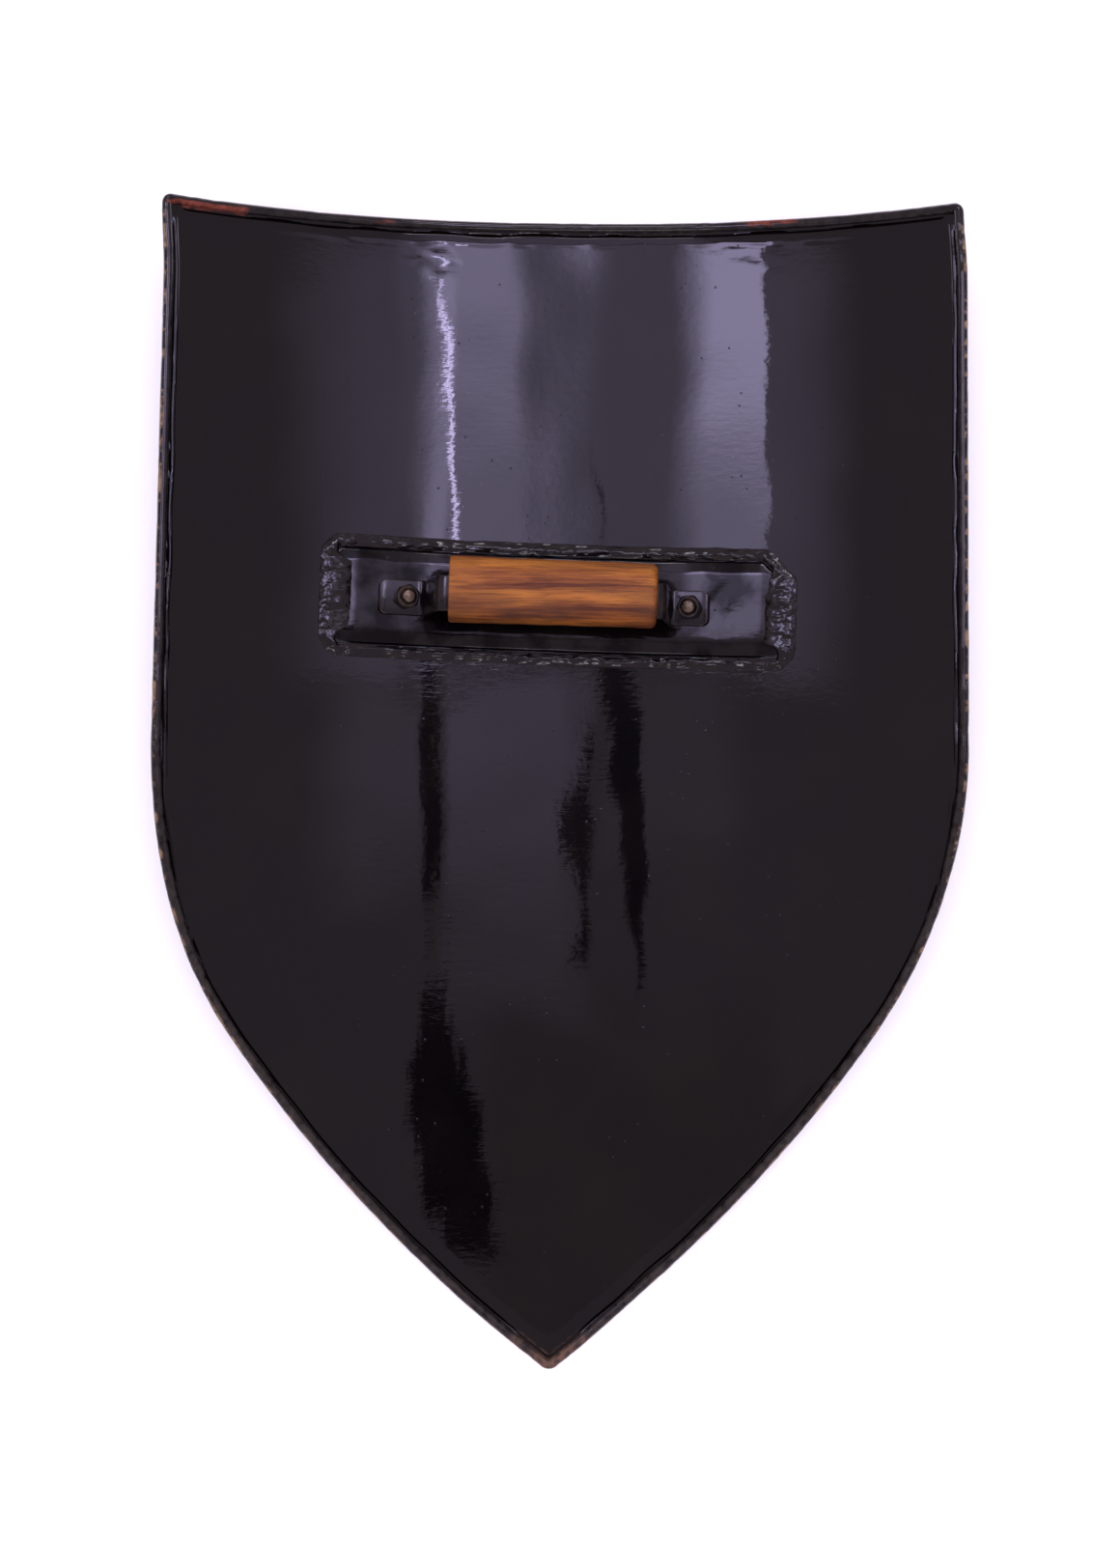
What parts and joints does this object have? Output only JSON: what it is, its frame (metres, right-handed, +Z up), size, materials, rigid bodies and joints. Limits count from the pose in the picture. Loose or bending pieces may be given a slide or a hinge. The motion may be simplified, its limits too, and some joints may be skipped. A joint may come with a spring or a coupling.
{
  "type": "heater shield",
  "caption": "Heater shield of bent sheet steel with a rolled rim, a straight top edge and a pointed foot, carried by a wooden grip on a bolted strap.",
  "frame": {"origin": "middle of the flat strip on the front, half way between the top edge and the point, at the surface the shield lies on", "axes": "+Z up out of the hollow side, +Y along the shield to its straight top edge, +X to the right as the grip side is seen"},
  "size_m": [0.4518, 0.6588, 0.0754],
  "materials": {
    "shell_enamel": "glossy black brush-laid enamel on sheet steel",
    "plate_enamel": "glossy black enamel, blotchy",
    "weld_enamel": "black enamel over a lumpy weld, brown in the hollows",
    "strap_enamel": "glossy black enamel, worn at the edges",
    "grip_wood": "oiled, satin, smudged by handling",
    "fastener_steel": "painted over, worn to dull brown steel on the bolt end"
  },
  "bodies": {
    "root": {"shell": "shell_enamel", "backing_plate": "plate_enamel", "weld_bead": "weld_enamel", "grip_strap": "strap_enamel", "wood_grip": "grip_wood", "bolt_left": "fastener_steel", "bolt_right": "fastener_steel", "nut_left": "fastener_steel", "nut_right": "fastener_steel"}
  },
  "joints": []
}
